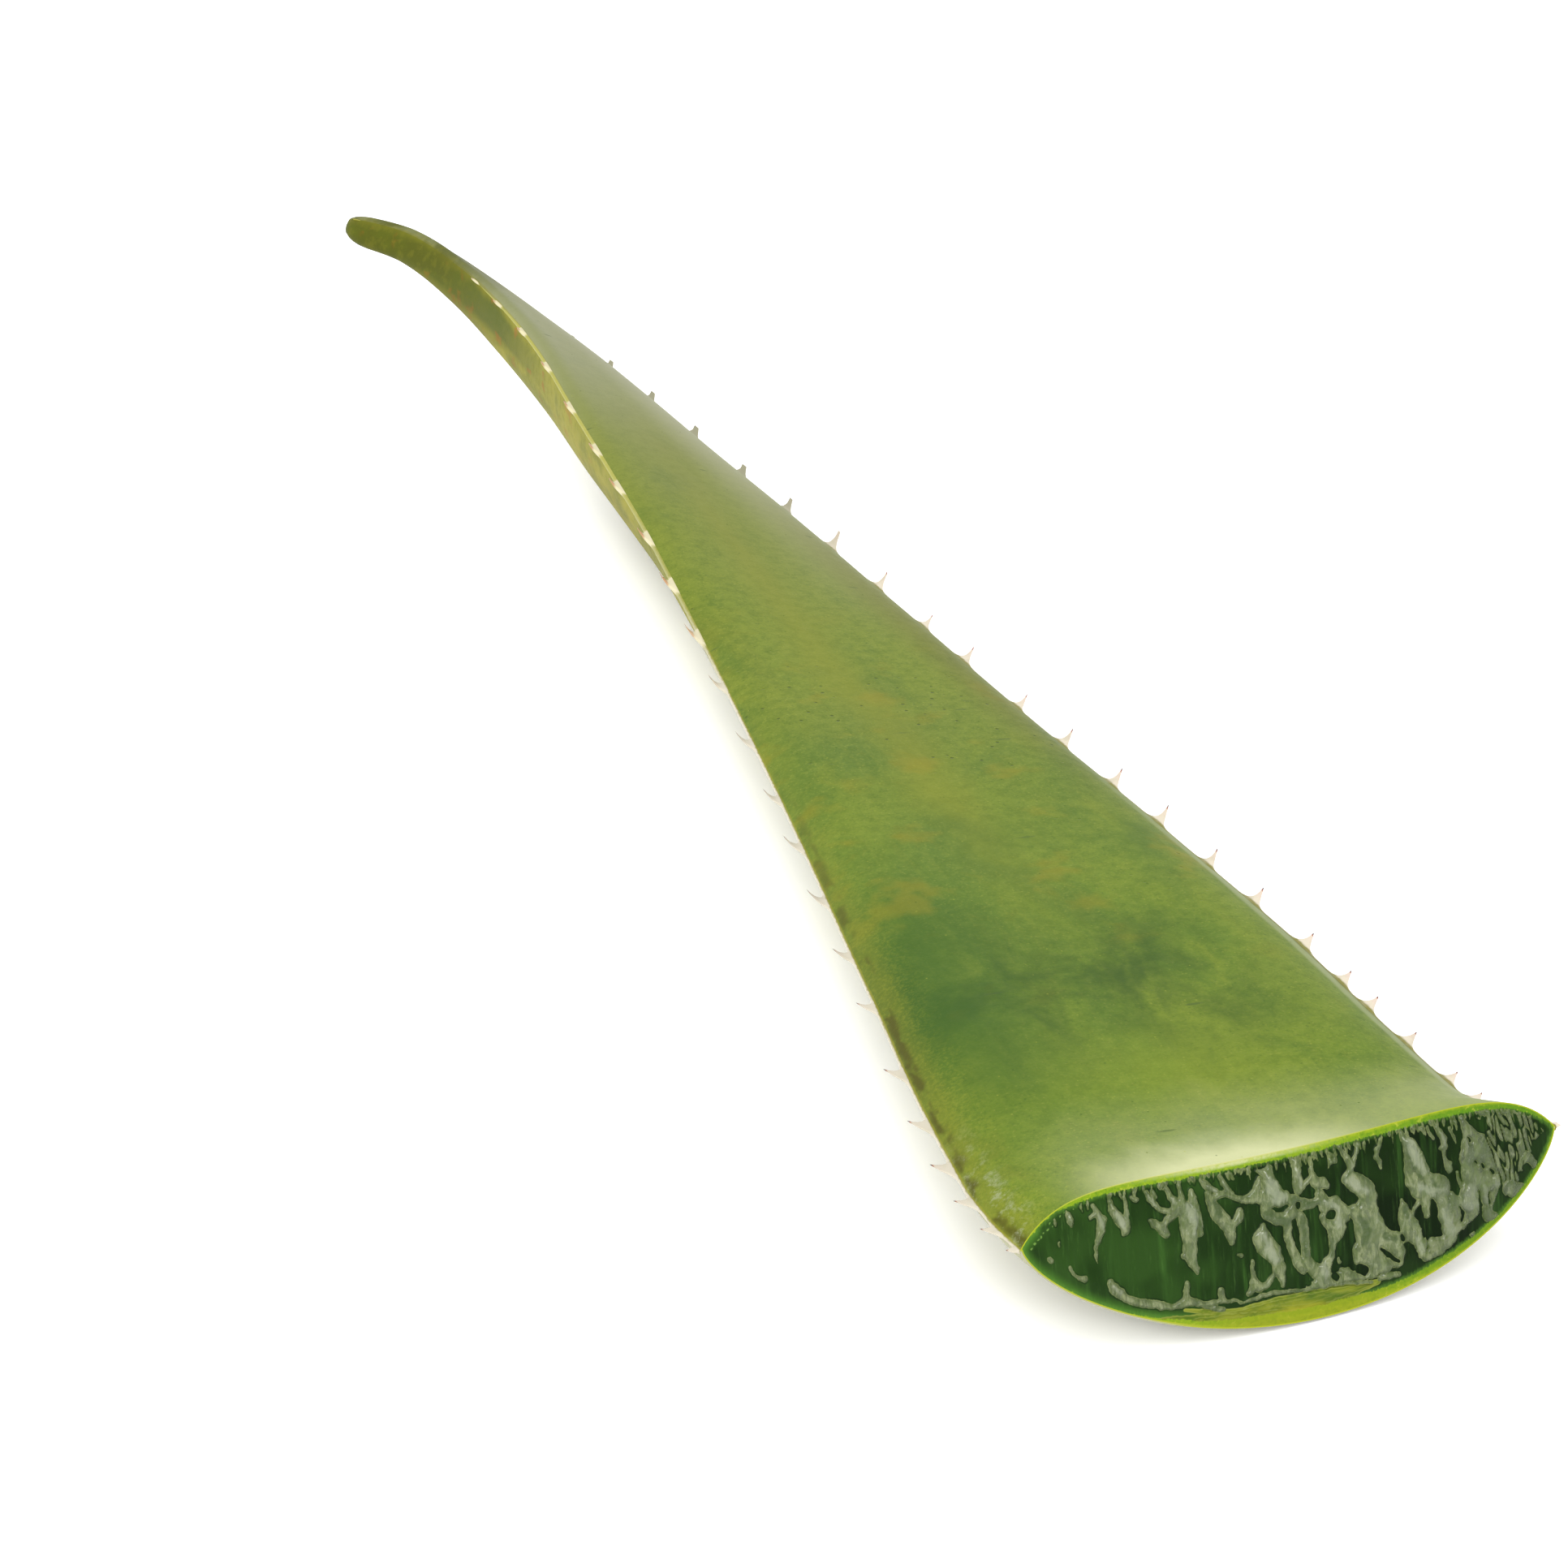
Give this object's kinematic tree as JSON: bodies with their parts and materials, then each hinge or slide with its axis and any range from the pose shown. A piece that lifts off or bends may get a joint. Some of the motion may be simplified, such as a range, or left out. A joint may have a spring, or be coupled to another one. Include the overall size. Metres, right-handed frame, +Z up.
{
  "type": "aloe vera leaf",
  "caption": "Cut aloe vera leaf with small hooked teeth along both margins, a thin green rind and clear gel showing at the slanting cut end.",
  "frame": {"origin": "middle of the flat spot on the rounded back that the leaf rests on", "axes": "+Y along the leaf from the cut end to the tip, +X towards its right margin as seen from the cut end, +Z up out of the upper face"},
  "size_m": [0.1097, 0.5175, 0.0384],
  "materials": {
    "rind": "waxy green skin with a soft sheen",
    "gel": "wet clear gel that looks dark green in depth"
  },
  "bodies": {
    "root": {"rind": "rind", "gel": "gel"}
  },
  "joints": []
}
